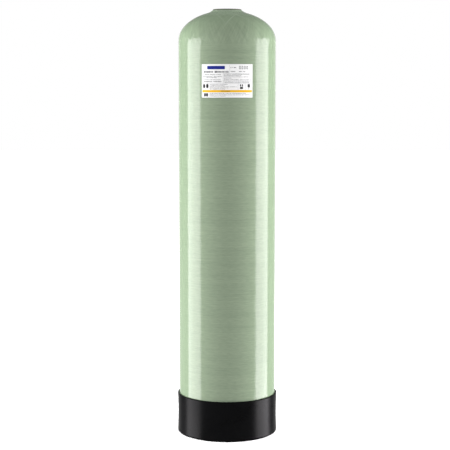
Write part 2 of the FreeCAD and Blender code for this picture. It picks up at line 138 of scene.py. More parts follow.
# The label
LABEL_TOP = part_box("label")[1].z
FILM_RADIUS = -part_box("label")[0].y
LABEL_ARC = 0.1355
INK_THICKNESS = 0.00003
INK_SUNK = 0.00002
MILLIMETRE = 0.001
FIELD_STEP = 1.5  # the width of a printed field's columns, in millimetres
ROUND_COLUMNS = 12  # the least number of columns in a fully round field
LEAST_HALF = 0.02  # half the height of a round field's ends, in millimetres
LETTER_SHARE = 0.93  # the share of a row's places that have a letter: the others are spaces
LEAST_WIDTH, LEAST_TALL = 0.7, 0.72  # the smallest letter, as shares of the largest

# The photograph's camera, whose view is shifted by a few pixels
CAMERA_DISTANCE = 3.5
CAMERA_HEIGHT = 0.934
CAMERA_DIP = math.radians(6.13)
LENS = 105.25
PHOTO_WIDTH = 450
PIXELS_ACROSS = -2.15
PIXELS_UP = 0.3

# The studio: how bright its surround is, and how bright the shell mirrors each part of it
SURROUND_LEVEL = 0.80
MIRRORED_ROOM = 0.12
MIRRORED_FLOOR = 0.45
MIRRORED_BACKDROP = 0.85
FLOOR_PAINT = (0.8, 0.8, 0.8)
FLOOR_SEEN = (2.2, 2.2, 2.2)
FLOOR_REACH = 15.0
FLOOR_DROP = 0.0003  # keeps the floor just clear of the base


class Nodes:
    """A node tree under construction."""

    def __init__(self, tree):
        self.tree = tree

    def add(self, kind, inputs=None, **settings):
        """A node with these settings, whose inputs are values or the outputs of other nodes."""
        node = self.tree.nodes.new(kind)
        for name, value in settings.items():
            setattr(node, name, value)
        for name, value in (inputs or {}).items():
            if isinstance(value, bpy.types.NodeSocket):
                self.tree.links.new(value, node.inputs[name])
            else:
                node.inputs[name].default_value = value
        return node

    def math(self, operation, *values):
        """One sum, as an output."""
        return self.add("ShaderNodeMath", dict(enumerate(values)), operation=operation).outputs[0]

    def vector(self, operation, *values):
        """One vector sum, as an output."""
        return self.add("ShaderNodeVectorMath", dict(enumerate(values)), operation=operation).outputs[0]

    def spread(self, value, low, high, to_low=0.0, to_high=1.0):
        """A value moved from one range to another, held within it."""
        inputs = {"Value": value, "From Min": low, "From Max": high, "To Min": to_low, "To Max": to_high}
        return self.add("ShaderNodeMapRange", inputs).outputs[0]

    def blend(self, share, first, second):
        """Two values mixed, as an output."""
        return self.add("ShaderNodeMix", {0: share, 2: first, 3: second}).outputs[0]

    def kept(self, name, kind):
        """What the mesh's points keep under this name, in a geometry tree."""
        return self.add("GeometryNodeInputNamedAttribute", {"Name": name}, data_type=kind).outputs[0]

    def noise(self, vector, scale, detail=2.0, roughness=0.5, seed=0.0):
        """A smooth random field, as an output."""
        inputs = {"Vector": vector, "Scale": scale, "Detail": detail, "Roughness": roughness, "W": seed}
        return self.add("ShaderNodeTexNoise", inputs, noise_dimensions="4D").outputs[0]


class Finish(Nodes):
    """A material: one shader, and the procedural detail that feeds it."""

    def __init__(self, name, **fixed):
        self.material = bpy.data.materials.new(name)
        self.material.use_nodes = True
        super().__init__(self.material.node_tree)
        self.shader = self.tree.nodes["Principled BSDF"]
        for socket, value in fixed.items():
            self.shader.inputs[socket.replace("_", " ")].default_value = value

    def feed(self, socket, output):
        """Drives one socket of the shader."""
        self.tree.links.new(output, self.shader.inputs[socket])

    def place(self, stretch=(1, 1, 1)):
        """The point on the piece, with each axis stretched."""
        point = self.add("ShaderNodeTexCoord").outputs["Object"]
        return self.add("ShaderNodeMapping", {"Vector": point, "Scale": stretch}).outputs[0]

    def stored(self, name, output):
        """What the piece's points keep under this name, in a material."""
        return self.add("ShaderNodeAttribute", attribute_name=name).outputs[output]

    def mix(self, share, first, second):
        """Two colours mixed, as an output."""
        inputs = {0: share, 6: first, 7: second}
        return self.add("ShaderNodeMix", inputs, data_type="RGBA").outputs[2]

    def bump(self, height, distance, strength=1.0, under=None):
        """A relief too fine to model, laid over another one."""
        inputs = {"Height": height, "Distance": distance, "Strength": strength}
        if under is not None:
            inputs["Normal"] = under
        return self.add("ShaderNodeBump", inputs).outputs[0]


def rgba(red, green, blue):
    """A plain colour as a socket takes it."""
    return (red, green, blue, 1.0)


def plastic(name, colour, other, roughness, grain=900.0, mottle=14.0, stretch=(1, 1, 1), relief=0.00004,
            **fixed):
    """A moulded plastic: two close tones in clouds, uneven gloss and a fine grain."""
    finish = Finish(name, **fixed)
    point = finish.place(stretch)
    clouds = finish.noise(point, mottle, detail=4.0, roughness=0.6)
    finish.feed("Base Color", finish.mix(finish.spread(clouds, 0.3, 0.7), rgba(*colour), rgba(*other)))
    fine = finish.noise(point, grain, detail=2.0, seed=3.0)
    uneven = finish.math("ADD", clouds, fine)
    finish.feed("Roughness", finish.spread(uneven, 0.6, 1.4, roughness * 0.86, roughness * 1.14))
    finish.feed("Normal", finish.bump(fine, relief))
    return finish.material


def ink(name, colour):
    """Printer's ink: a flat colour with the faint mottle of the press."""
    lighter = tuple(min(1.0, part * 1.12 + 0.004) for part in colour)
    return plastic(name, colour, lighter, 0.38, grain=2600.0, mottle=260.0, relief=0.00001)


def slanting_strands(finish):
    """The two lays of strands on the domes: their fine streaks, their bundles, and painted glints along a few
    of them.
    """
    streaks, bundles, painted_glints = [], [], []
    for number, name in enumerate(("strand_left", "strand_right")):
        lay = finish.stored(name, "Vector")
        streaks.append(finish.noise(lay, STREAK_GRAIN, detail=3.0, roughness=0.65, seed=number))
        bundles.append(finish.noise(lay, BUNDLE_GRAIN, detail=2.0, seed=5.0 + number))
        long_lay = finish.add("ShaderNodeMapping", {"Vector": lay, "Scale": GLINT_STRETCH}).outputs[0]
        painted_glints.append(finish.noise(long_lay, GLINT_GRAIN, detail=1.0, seed=33.0 + number))
    both = finish.math("MULTIPLY", finish.math("ADD", *streaks), 0.5)
    return (finish.spread(both, 0.14, 0.86), finish.math("MULTIPLY", finish.math("ADD", *bundles), 0.5),
            finish.spread(finish.math("MAXIMUM", *painted_glints), 0.64, 0.74))


def wound_fibreglass():
    """Glossy green resin over glass strands: hoops round the barrel, slanting strands on the domes."""
    finish = Finish("wound fibreglass", IOR=1.5)
    hoop_share = finish.stored("hoop_share", "Fac")
    height = finish.add("ShaderNodeSeparateXYZ", {0: finish.place()}).outputs[2]
    slant, bundles, painted_glints = slanting_strands(finish)
    hoops = finish.noise(finish.place(HOOP_GRAIN), 1.0, detail=3.0, roughness=0.75)
    fibres = finish.noise(finish.place(FIBRE_GRAIN), 1.0, detail=2.0, seed=2.0)
    passes = finish.noise(finish.place(PASS_GRAIN), 1.0, detail=0.0, seed=9.0)
    clouds = finish.noise(finish.place(), CLOUD_GRAIN, detail=3.0, seed=4.0)

    around = finish.math("ADD", finish.math("MULTIPLY", hoops, 0.5), finish.math("MULTIPLY", fibres, 0.5))
    streaks = finish.blend(hoop_share, slant, around)
    fields = finish.blend(hoop_share, bundles, passes)
    # Seen aslant, there is more resin over the strands: their broad fields even out, and then their streaks
    aslant = finish.add("ShaderNodeLayerWeight", {"Blend": 0.5}).outputs["Facing"]
    broad = finish.math("ADD", finish.math("MULTIPLY", fields, 0.15), finish.math("MULTIPLY", clouds, 0.07))
    broad = finish.blend(finish.spread(aslant, 0.12, 0.30, 0.0, 0.85), broad, 0.11)
    tone = finish.math("ADD", finish.math("MULTIPLY", streaks, 0.78), broad)
    finish.feed("Roughness", finish.spread(tone, 0.3, 0.7, 0.08, 0.14))

    seen_tone = finish.blend(finish.spread(aslant, 0.30, 0.60, 0.0, 0.5), tone, 0.5)
    colour = finish.mix(finish.spread(seen_tone, 0.34, 0.66), rgba(*DEEP_GREEN), rgba(*PALE_GREEN))
    # Painted light: the shell is drawn paler towards the neck, most of all in the collar under the rim, which
    # lifts the shade of the hollow there
    painted_collar_light = finish.math(
        "ADD", finish.spread(height, RIM_HEIGHT - COLLAR_LIGHT_FOOT, RIM_HEIGHT - COLLAR_FOOT, 0.0, 0.09),
        finish.spread(height, RIM_HEIGHT - COLLAR_FOOT, RIM_HEIGHT - COLLAR_TOP, 0.0, 0.55))
    colour = finish.mix(painted_collar_light, colour, rgba(*COLLAR_LIGHT_GREEN))
    # Painted glints: a few strands are drawn paler, as if they caught the light, and stand out more the
    # nearer they come to the neck
    near_neck = finish.spread(height, RIM_HEIGHT - GLINT_FOOT, RIM_HEIGHT - GLINT_TOP, 0.15, 0.7)
    shown = finish.math("MULTIPLY", finish.math("SUBTRACT", 1.0, hoop_share), near_neck)
    colour = finish.mix(finish.math("MULTIPLY", painted_glints, shown), colour, rgba(*GLINT_GREEN))
    # The light's longer way through the resin also makes it greener where it is seen aslant
    deeper = finish.add("ShaderNodeMix", {0: 1.0, 6: colour, 7: rgba(*ASLANT_TINT)},
                        data_type="RGBA", blend_type="MULTIPLY").outputs[2]
    finish.feed("Base Color", finish.mix(finish.spread(aslant, 0.05, 0.75), colour, deeper))

    # The slanting strands of the domes stand higher than the hoops round the barrel
    streak_height = finish.spread(hoop_share, 0.0, 1.0, 0.0012, 0.00026)
    field_height = finish.spread(hoop_share, 0.0, 1.0, 0.0020, 0.0001)
    relief = finish.bump(streaks, streak_height, strength=0.5)
    relief = finish.bump(fibres, 0.0005, strength=0.5, under=relief)
    relief = finish.bump(fields, field_height, strength=0.6, under=relief)
    # At the shoulder the strands turn over from one lay into the other, and lie less evenly
    off_shoulder = finish.math("ABSOLUTE", finish.math("SUBTRACT", height, TOP_CENTRE))
    uneven = finish.spread(off_shoulder, 0.003, 0.014, 0.0009, 0.0)
    turning = finish.noise(finish.stored("strand_turning", "Vector"), TURNING_GRAIN, detail=1.0, seed=6.0)
    finish.feed("Normal", finish.bump(turning, uneven, under=relief))
    return finish.material


def label_film():
    """White printed film with a soft gloss. A faint painted glow makes it a little whiter than white paint.
    """
    return plastic("label film", (0.80, 0.80, 0.80), (0.84, 0.84, 0.84), 0.32, grain=1400.0, mottle=60.0,
                   relief=0.000012, Emission_Color=rgba(1, 1, 1), Emission_Strength=0.12)


def dome_height(radius, barrel, rise):
    """How high an elliptical dome stands over its centre at this distance from the axis."""
    return rise * math.sqrt(max(0.0, 1 - (radius / barrel) ** 2))


def dome_arc(barrel, rise, centre, start, finish, count, upwards):
    """Points of a dome's section from one radius to another, evenly turned."""
    first, last = math.asin(start / barrel), math.asin(finish / barrel)
    way = 1 if upwards else -1
    return [(barrel * math.sin(turn), centre + way * rise * math.cos(turn))
            for turn in np.linspace(first, last, count)]


def flare_arc(count):
    """The hollow between the top dome and the neck, from the dome up to the end of the winding."""
    low, high = FLARE_DRUM, FLARE_DRUM + 2 * FLARE_RADIUS
    for _ in range(HALVINGS):
        radius = (low + high) / 2
        height = dome_height(radius, SIDE_RADIUS, DOME_RISE)
        across, up = radius / SIDE_RADIUS ** 2, height / DOME_RISE ** 2
        reach = radius + FLARE_RADIUS * across / math.hypot(across, up)
        low, high = (radius, high) if reach < FLARE_DRUM + FLARE_RADIUS else (low, radius)
    middle = (FLARE_DRUM + FLARE_RADIUS, TOP_CENTRE + height + FLARE_RADIUS * up / math.hypot(across, up))
    first = math.atan2(TOP_CENTRE + height - middle[1], radius - middle[0])
    last = -math.pi + math.asin(max(0.0, min(1.0, (middle[1] - WINDING_END) / FLARE_RADIUS)))
    return radius, [(middle[0] + FLARE_RADIUS * math.cos(turn), middle[1] + FLARE_RADIUS * math.sin(turn))
                    for turn in np.linspace(first, last, count)]


def shell_section():
    """The wound shell's section: the outside from the bottom pole up, then the cavity back down."""
    flare_foot, flare = flare_arc(FLARE_RINGS)
    outside = dome_arc(SIDE_RADIUS, DOME_RISE, BOTTOM_CENTRE, 0.0, SIDE_RADIUS, BOTTOM_DOME_RINGS,
                       upwards=False)
    rings = round((TOP_CENTRE - BOTTOM_CENTRE) / RING_STEP)
    outside += [(SIDE_RADIUS, height) for height in np.linspace(BOTTOM_CENTRE, TOP_CENTRE, rings + 1)[1:]]
    outside += dome_arc(SIDE_RADIUS, DOME_RISE, TOP_CENTRE, SIDE_RADIUS, flare_foot, TOP_DOME_RINGS,
                        upwards=True)[1:]
    outside += flare[1:]
    cavity_rise = DOME_RISE - CROWN_WALL
    neck_foot = TOP_CENTRE + dome_height(INSERT_RADIUS, CAVITY_RADIUS, cavity_rise)
    inside = [(INSERT_RADIUS, WINDING_END), (INSERT_RADIUS, neck_foot)]
    inside += dome_arc(CAVITY_RADIUS, cavity_rise, TOP_CENTRE, INSERT_RADIUS, CAVITY_RADIUS,
                       CAVITY_DOME_RINGS, upwards=True)[1:]
    inside += dome_arc(CAVITY_RADIUS, cavity_rise, BOTTOM_CENTRE, CAVITY_RADIUS, 0.0,
                       CAVITY_DOME_RINGS, upwards=False)
    return outside, inside


def turned_mesh(name, section, segments, radius_at=None):
    """A section turned round the vessel's axis. Its ends close at the axis, or on each other."""
    turns = np.linspace(0, 2 * math.pi, segments, endpoint=False)
    poles = section[0][0] < 1e-9
    rings = section[1:-1] if poles else section
    points = []
    for radius, height in rings:
        reach = np.full(segments, radius) if radius_at is None else radius_at(radius, height, turns)
        points += list(zip(reach * np.sin(turns), -reach * np.cos(turns), np.full(segments, height)))
    faces = []
    pairs = len(rings) - 1 if poles else len(rings)
    for ring in range(pairs):
        here, there = ring * segments, (ring + 1) % len(rings) * segments
        faces += [(here + i, here + (i + 1) % segments, there + (i + 1) % segments, there + i)
                  for i in range(segments)]
    if poles:
        last = (len(rings) - 1) * segments
        points += [(0, 0, section[0][1]), (0, 0, section[-1][1])]
        start, end = len(points) - 2, len(points) - 1
        faces += [(start, (i + 1) % segments, i) for i in range(segments)]
        faces += [(end, last + i, last + (i + 1) % segments) for i in range(segments)]
    mesh = bpy.data.meshes.new(name)
    mesh.from_pydata([tuple(map(float, p)) for p in points], [], faces)
    mesh.polygons.foreach_set("use_smooth", [True] * len(mesh.polygons))
    mesh.set_sharp_from_angle(angle=SHARP_ANGLE)
    return mesh


def lay_strands(mesh, outside):
    """Stores, for each point of the shell, how the hoops and the slanting lays of strands run there."""
    lengths = np.concatenate([[0], np.cumsum(np.hypot(*np.diff(np.array(outside), axis=0).T))])
    radii = np.array([radius for radius, _ in outside])
    clear = np.maximum(radii, TURN_RADIUS * CLEAR_OF_TURN)
    rate = TURN_RADIUS / (clear * np.sqrt(clear ** 2 - TURN_RADIUS ** 2))
    lead = np.concatenate([[0], np.cumsum((rate[1:] + rate[:-1]) / 2 * np.diff(lengths))])
    middle = np.interp(0.5 * (BOTTOM_CENTRE + TOP_CENTRE), [height for _, height in outside], lead)

    co = np.zeros(len(mesh.vertices) * 3)
    mesh.vertices.foreach_get("co", co)
    co = co.reshape(-1, 3)
    ring = np.full(len(co), -1)
    count = len(outside) - 1
    ring[:count * SEGMENTS] = np.repeat(np.arange(1, count + 1), SEGMENTS)
    on_outside = ring >= 0
    turn = np.arctan2(co[:, 0], -co[:, 1])
    shift = np.where(on_outside, lead[ring] - middle, 0)
    along = np.where(on_outside, lengths[ring], 0)
    shifts = {"strand_left": shift, "strand_right": -shift, "strand_turning": co[:, 2] * TURNING_LEAD}
    for name, lead_there in shifts.items():
        angle = turn + lead_there
        lay = np.stack([np.cos(angle), np.sin(angle), along * LAY_STRETCH], axis=1)
        mesh.attributes.new(name, "FLOAT_VECTOR", "POINT").data.foreach_set("vector", lay.ravel())
    inwards = np.minimum(co[:, 2] - BOTTOM_CENTRE, TOP_CENTRE - co[:, 2])
    barrel = np.clip((inwards - HOOPS_START) / HOOPS_FADE, 0, 1)
    hoops = np.where(on_outside, barrel, 0.0)
    mesh.attributes.new("hoop_share", "FLOAT", "POINT").data.foreach_set("value", hoops)
    relief = np.where(on_outside & (along > BARE_POLE), 1.0, 0.0)
    mesh.attributes.new("relief_share", "FLOAT", "POINT").data.foreach_set("value", relief)


def new_tree(name, sizes):
    """An empty geometry tree with named inputs."""
    tree = bpy.data.node_groups.new(name, "GeometryNodeTree")
    tree.interface.new_socket("Geometry", in_out="INPUT", socket_type="NodeSocketGeometry")
    tree.interface.new_socket("Geometry", in_out="OUTPUT", socket_type="NodeSocketGeometry")
    for size in sizes:
        tree.interface.new_socket(size, in_out="INPUT", socket_type="NodeSocketFloat")
    tree.interface.new_socket("Material", in_out="INPUT", socket_type="NodeSocketMaterial")
    return tree


def finish_tree(graph, geometry, given):
    """Ends a tree: real meshes, with their material."""
    real = graph.add("GeometryNodeRealizeInstances", {"Geometry": geometry}).outputs[0]
    faced = graph.add("GeometryNodeSetMaterial", {"Geometry": real, "Material": given["Material"]}).outputs[0]
    graph.add("NodeGroupOutput", {"Geometry": faced})


def winding_tree():
    """Sinks the valleys between hoops and between the slanting bands of strands."""
    tree = new_tree("winding relief", ("Hoop Depth", "Hoops Per Metre", "Band Depth", "Band Count", "Seed"))
    graph = Nodes(tree)
    given = graph.add("NodeGroupInput").outputs
    place = graph.add("GeometryNodeInputPosition").outputs[0]
    across = graph.add("ShaderNodeCombineXYZ", {
        0: HOOPS_SIDEWAYS, 1: HOOPS_SIDEWAYS, 2: given["Hoops Per Metre"]}).outputs[0]
    hoops = graph.noise(graph.vector("MULTIPLY", place, across), 1.0, detail=1.0, seed=given["Seed"])
    ridges = []
    for name in ("strand_left", "strand_right"):
        parts = graph.add("ShaderNodeSeparateXYZ", {0: graph.kept(name, "FLOAT_VECTOR")}).outputs
        turn = graph.math("ARCTAN2", parts[1], parts[0])
        wave = graph.math("COSINE", graph.math("MULTIPLY", turn, given["Band Count"]))
        ridges.append(graph.spread(wave, BAND_FOOT, BAND_TOP))
    valley = graph.math("SUBTRACT", 1.0, graph.math("MAXIMUM", *ridges))
    hoop_share, relief_share = graph.kept("hoop_share", "FLOAT"), graph.kept("relief_share", "FLOAT")
    hoop_part = graph.math("MULTIPLY", graph.math("MULTIPLY", hoops, hoop_share), given["Hoop Depth"])
    band_share = graph.spread(hoop_share, 0.0, 1.0, 1.0, BANDS_ON_BARREL)
    band_part = graph.math("MULTIPLY", graph.math("MULTIPLY", valley, band_share), given["Band Depth"])
    depth = graph.math("MULTIPLY", graph.math("ADD", hoop_part, band_part), relief_share)
    normal = graph.add("GeometryNodeInputNormal").outputs[0]
    offset = graph.add("ShaderNodeVectorMath", {0: normal, "Scale": graph.math("MULTIPLY", depth, -1.0)},
                       operation="SCALE").outputs[0]
    sunk = graph.add("GeometryNodeSetPosition", {"Geometry": given["Geometry"], "Offset": offset}).outputs[0]
    finish_tree(graph, sunk, given)
    return tree


def letter_tree():
    """Rows of small upright blocks, one row along each edge, wrapped round the barrel as print."""
    tree = new_tree("rows of print", ("Pitch", "Width Share", "Ink Thickness", "Radius", "Seed"))
    graph = Nodes(tree)
    given = graph.add("NodeGroupInput").outputs
    seed = graph.add("FunctionNodeFloatToInt", {0: given["Seed"]}).outputs[0]
    height = graph.kept("letter_height", "FLOAT")
    rows = graph.add("GeometryNodeMeshToCurve", {"Mesh": given["Geometry"]}).outputs[0]
    step = graph.math("MULTIPLY", height, given["Pitch"])
    points = graph.add("GeometryNodeResampleCurve", {"Curve": rows, "Length": step}, mode="LENGTH").outputs[0]
    filled = graph.add("FunctionNodeRandomValue", {"Probability": LETTER_SHARE, "Seed": seed},
                       data_type="BOOLEAN").outputs[3]
    width, tall = (graph.add("FunctionNodeRandomValue", {2: least, 3: 1.0, "Seed": seed},
                             data_type="FLOAT").outputs[1] for least in (LEAST_WIDTH, LEAST_TALL))
    wide = graph.math("MULTIPLY", graph.math("MULTIPLY", width, given["Width Share"]), step)
    size = graph.add("ShaderNodeCombineXYZ", {
        0: wide, 1: given["Ink Thickness"], 2: graph.math("MULTIPLY", tall, height)}).outputs[0]
    block = graph.add("GeometryNodeMeshCube", {"Size": (1, 1, 1), "Vertices X": 3}).outputs[0]
    letters = graph.add("GeometryNodeInstanceOnPoints", {
        "Points": points, "Selection": filled, "Instance": block, "Scale": size}).outputs[0]
    real = graph.add("GeometryNodeRealizeInstances", {"Geometry": letters}).outputs[0]
    flat = graph.add("ShaderNodeSeparateXYZ", {0: graph.add("GeometryNodeInputPosition").outputs[0]}).outputs
    turn = graph.math("DIVIDE", flat[0], given["Radius"])
    reach = graph.math("SUBTRACT", given["Radius"], flat[1])
    wrapped = graph.add("ShaderNodeCombineXYZ", {
        0: graph.math("MULTIPLY", reach, graph.math("SINE", turn)),
        1: graph.math("MULTIPLY", graph.math("MULTIPLY", reach, graph.math("COSINE", turn)), -1.0),
        2: flat[2]}).outputs[0]
    laid = graph.add("GeometryNodeSetPosition", {"Geometry": real, "Position": wrapped}).outputs[0]
    finish_tree(graph, laid, given)
    return tree


def grown(name, mesh, tree, **inputs):
    """A piece: what a tree makes of a mesh, as a plain mesh of its own."""
    piece = bpy.data.objects.new(name, mesh)
    bpy.context.scene.collection.objects.link(piece)
    modifier = piece.modifiers.new(tree.name, "NODES")
    modifier.node_group = tree
    identifiers = {item.name: item.identifier for item in tree.interface.items_tree if item.in_out == "INPUT"}
    for size, value in inputs.items():
        modifier[identifiers[size.replace("_", " ")]] = value
    result = bpy.data.meshes.new_from_object(piece.evaluated_get(bpy.context.evaluated_depsgraph_get()))
    piece.modifiers.remove(modifier)
    piece.data = result
    result.name = name
    return piece


def placed(name, mesh, material):
    """A piece from a finished mesh."""
    mesh.materials.clear()
    mesh.materials.append(material)
    piece = bpy.data.objects.new(name, mesh)
    bpy.context.scene.collection.objects.link(piece)
    return piece


def wound_shell(material):
    """The shell, with the relief of its winding."""
    outside, inside = shell_section()
    mesh = turned_mesh("wound shell", outside + inside, SEGMENTS)
    lay_strands(mesh, outside)
    return grown("wound_shell", mesh, winding_tree(), Hoop_Depth=0.000025, Hoops_Per_Metre=60.0,
                 Band_Depth=0.00040, Band_Count=26.0, Seed=2.0, Material=material)


def insert_section():
    """The neck insert's section, all the way round: down the bore, and back up the outside."""
    round_steps = np.linspace(math.pi / 2, 0, EDGE_POINTS)
    corner = (INSERT_RADIUS - INSERT_EDGE_ROUND, RIM_HEIGHT - INSERT_EDGE_ROUND)
    section = [(THREAD_RADIUS + LEAD_IN, RIM_HEIGHT)]
    section += [(corner[0] + INSERT_EDGE_ROUND * math.cos(turn),
                 corner[1] + INSERT_EDGE_ROUND * math.sin(turn)) for turn in round_steps]
    cavity_rise = DOME_RISE - CROWN_WALL
    section += dome_arc(CAVITY_RADIUS, cavity_rise, TOP_CENTRE, INSERT_RADIUS, LAP_RADIUS, LAP_POINTS,
                        upwards=True)
    section += dome_arc(CAVITY_RADIUS - LINER_WALL, cavity_rise - LINER_WALL, TOP_CENTRE,
                        LAP_RADIUS, FLANGE_RADIUS, FLANGE_POINTS, upwards=True)
    flange_foot = section[-1][1] - FLANGE_EDGE
    section += [(FLANGE_RADIUS, flange_foot), (SKIRT_RADIUS, flange_foot), (SKIRT_RADIUS, INSERT_FOOT),
                (RELIEF_RADIUS, INSERT_FOOT), (RELIEF_RADIUS, THREAD_END)]
    rings = round((RIM_HEIGHT - THREAD_END) / (THREAD_PITCH / RINGS_A_TURN))
    section += [(THREAD_RADIUS, height) for height in np.linspace(THREAD_END, RIM_HEIGHT, rings)[:-1]]
    return section[::-1]


def thread_reach(radius, height, turns):
    """The bore's radius where the thread is cut: a 60 degree groove that climbs one pitch a turn."""
    if radius != THREAD_RADIUS:
        return np.full(len(turns), radius)
    phase = (height / THREAD_PITCH - turns / (2 * math.pi)) % 1.0
    groove = np.clip(GROOVE_PEAK - np.abs(phase - 0.5) * GROOVE_FLANK, 0, 1)
    chamfer = max(0.0, LEAD_IN - (RIM_HEIGHT - height))
    return THREAD_RADIUS + np.maximum(groove * THREAD_DEPTH, chamfer)


def threaded_insert(material):
    """The neck insert, with its thread."""
    mesh = turned_mesh("threaded insert", insert_section(), INSERT_SEGMENTS, thread_reach)
    return placed("threaded_insert", mesh, material)


def on_film(across, down):
    """A point of the label's sheet, from its top left corner, as distances round and up the film."""
    return across - LABEL_ARC / 2, LABEL_TOP - down


def printed_fields(name, fields, material):
    """Flat fields of ink on the film: each has left, top, width and height in millimetres, and how round."""
    work = bmesh.new()
    for left, top, width, height, roundness in fields:
        columns = max(3, math.ceil(width / FIELD_STEP), round(ROUND_COLUMNS * roundness))
        rows = []
        for share in np.linspace(0, 1, columns + 1):
            if roundness:
                share = (1 - math.cos(math.pi * share)) / 2
            end = roundness * min(width, height) / 2
            edge = min(share, 1 - share) * width
            half = height / 2
            if edge < end:
                half -= end - math.sqrt(end ** 2 - (end - edge) ** 2)
            half = max(half, LEAST_HALF)
            column = []
            for down, on_top in ((-half, True), (half, True), (half, False), (-half, False)):
                around, up = on_film((left + share * width) * MILLIMETRE,
                                     (top + height / 2 + down) * MILLIMETRE)
                reach = FILM_RADIUS + (INK_THICKNESS if on_top else -INK_SUNK)
                turn = around / FILM_RADIUS
                column.append(work.verts.new((reach * math.sin(turn), -reach * math.cos(turn), up)))
            rows.append(column)
        for here, there in zip(rows, rows[1:]):
            for side in range(4):
                work.faces.new((here[side], here[(side + 1) % 4], there[(side + 1) % 4], there[side]))
        work.faces.new(rows[0][::-1])
        work.faces.new(rows[-1])
    bmesh.ops.recalc_face_normals(work, faces=work.faces)
    mesh = bpy.data.meshes.new(name)
    work.to_mesh(mesh)
    work.free()
    return placed(name, mesh, material)


def printed_rows(name, rows, tree, material, seed, pitch=0.74):
    """Rows of print: each has left, middle height, length and letter height in millimetres."""
    points = []
    heights = []
    for left, down, length, height in rows:
        for across in (left, left + length):
            around, up = on_film(across * MILLIMETRE, down * MILLIMETRE)
            points.append((around, 0.0, up))
            heights.append(height * MILLIMETRE)
    mesh = bpy.data.meshes.new(name)
    mesh.from_pydata(points, [(i, i + 1) for i in range(0, len(points), 2)], [])
    mesh.attributes.new("letter_height", "FLOAT", "POINT").data.foreach_set("value", heights)
    return grown(name, mesh, tree, Pitch=pitch, Width_Share=0.82, Ink_Thickness=2 * INK_THICKNESS,
                 Radius=FILM_RADIUS, Seed=seed, Material=material)


def label_print():
    """What is printed on the label: plain bars, boxes and rows of blocks in the place of words."""
    blue = ink("blue ink", (0.002, 0.014, 0.25))
    yellow = ink("yellow ink", (0.87, 0.48, 0.0))
    dark = ink("dark ink", (0.012, 0.012, 0.014))
    grey = ink("grey ink", (0.07, 0.07, 0.08))
    brown = ink("brown ink", (0.22, 0.11, 0.01))
    tree = letter_tree()
    bar = (15.5, 4.5, 46.5, 8.6, 0.35)
    band = (1.5, 65.7, 132.5, 5.8, 0.0)
    boxes = [(98.6 + 6.6 * number + side, 4.6, 1.1, 8.2, 0.0) for number in range(4) for side in (0, 2.9)]
    boxes += [(99.8 + 6.6 * number, top, 1.6, 1.0, 0.0) for number in range(4) for top in (4.6, 11.8)]
    rules = [(57.2, 23.2, 76.0, 0.3, 0.0), (73.8, 3.0, 0.3, 20.0, 0.0), (57.2, 23.7, 0.3, 25.0, 0.0),
             (2.0, 48.9, 131.5, 0.3, 0.0), (95.6, 49.6, 0.3, 15.8, 0.0), (115.0, 49.6, 0.3, 15.8, 0.0)]
    marks = [(3.8, 50.3, 5.6, 10.4, 1.0), (12.4, 50.1, 6.4, 10.8, 1.0),
             (100.8, 51.2, 2.9, 5.6, 0.4), (105.9, 51.2, 2.9, 5.6, 0.4), (100.8, 57.8, 8.0, 5.2, 0.3),
             (121.8, 50.6, 6.4, 8.8, 0.6), (124.0, 61.8, 2.0, 2.0, 1.0)]
    marks += [(6.4 + 3.9 * number, 74.0, 3.4, 8.2, 0.1) for number in range(3)]
    pieces = [
        printed_fields("label_blue_bar", [bar], blue),
        printed_fields("label_yellow_band", [band], yellow),
        printed_fields("label_grey_boxes", boxes + rules, grey),
        printed_fields("label_dark_marks", marks, dark),
    ]
    heading = [(7.9, 19.6, 25.5, 5.2), (37.2, 19.6, 32.5, 5.2)]
    pieces.append(printed_rows("label_heading", heading, tree, grey, pitch=0.66, seed=4.0))
    words = [(77.5, 8.8, 12.5, 2.7), (77.5, 18.8, 10.5, 2.2), (99.0, 18.8, 6.0, 2.0), (109.0, 18.8, 5.5, 2.0),
             (7.0, 44.6, 45.5, 2.4), (59.5, 25.6, 66.5, 1.6), (2.8, 32.0, 51.5, 1.6)]
    pieces.append(printed_rows("label_dark_print", words, tree, dark, seed=7.0))
    small = [(8.0, 26.8, 44.0, 1.6), (13.5, 34.6, 27.5, 1.4), (7.0, 39.8, 44.0, 1.6),
             (59.5, 29.0, 45.0, 1.4), (59.5, 32.4, 64.5, 1.4), (59.5, 35.8, 19.5, 1.4),
             (59.5, 39.6, 72.0, 1.4), (59.5, 43.0, 72.0, 1.4), (59.5, 46.4, 66.5, 1.4),
             (22.5, 51.6, 46.0, 1.2), (22.5, 54.6, 38.0, 1.2), (22.5, 57.6, 70.0, 1.2),
             (22.5, 60.6, 50.0, 1.2), (22.5, 63.4, 40.0, 1.2), (22.0, 74.6, 94.0, 1.3),
             (22.0, 78.0, 105.0, 1.3), (22.0, 81.2, 41.0, 1.3)]
    pieces.append(printed_rows("label_small_print", small, tree, grey, seed=11.0))
    band_words = [(53.0, 68.5, 21.5, 2.4)]
    pieces.append(printed_rows("label_band_print", band_words, tree, brown, seed=5.0))
    return pieces


def dress(node, material):
    """Gives a piece of the construction its finish."""
    for slot in nodes[node].material_slots:
        slot.material = material


